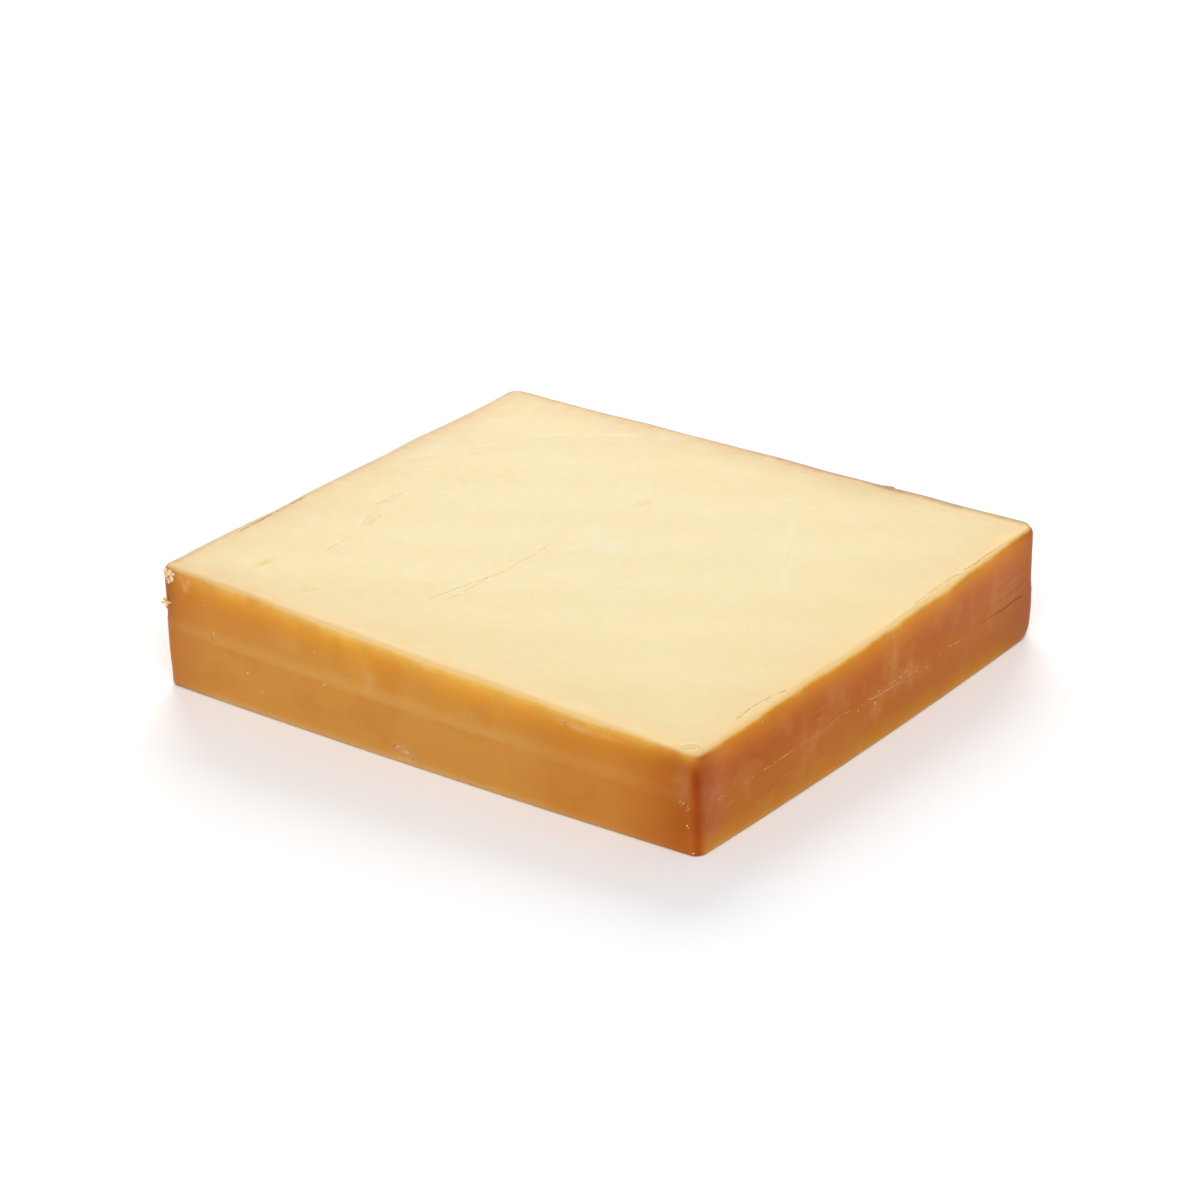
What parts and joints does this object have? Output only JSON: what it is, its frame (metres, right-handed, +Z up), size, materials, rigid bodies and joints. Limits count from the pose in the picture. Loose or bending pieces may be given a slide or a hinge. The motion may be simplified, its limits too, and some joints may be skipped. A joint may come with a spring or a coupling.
{
  "type": "smoked cheddar slab",
  "caption": "Thick rectangular slab of smoked cheddar with a pale cut top, an amber smoked rind on its sides and a flat underside.",
  "frame": {"origin": "middle of the bounding box, on the plane that the slab rests on", "axes": "+X along the longer side, +Y along the shorter side, +Z up out of the cut top"},
  "size_m": [0.244, 0.2242, 0.0483],
  "materials": {
    "smoked_cheese": "satin, waxy and slightly translucent: pale cream where it was cut, golden amber to orange-brown on the smoked sides"
  },
  "bodies": {
    "root": {"cheese_slab": "smoked_cheese"}
  },
  "joints": []
}
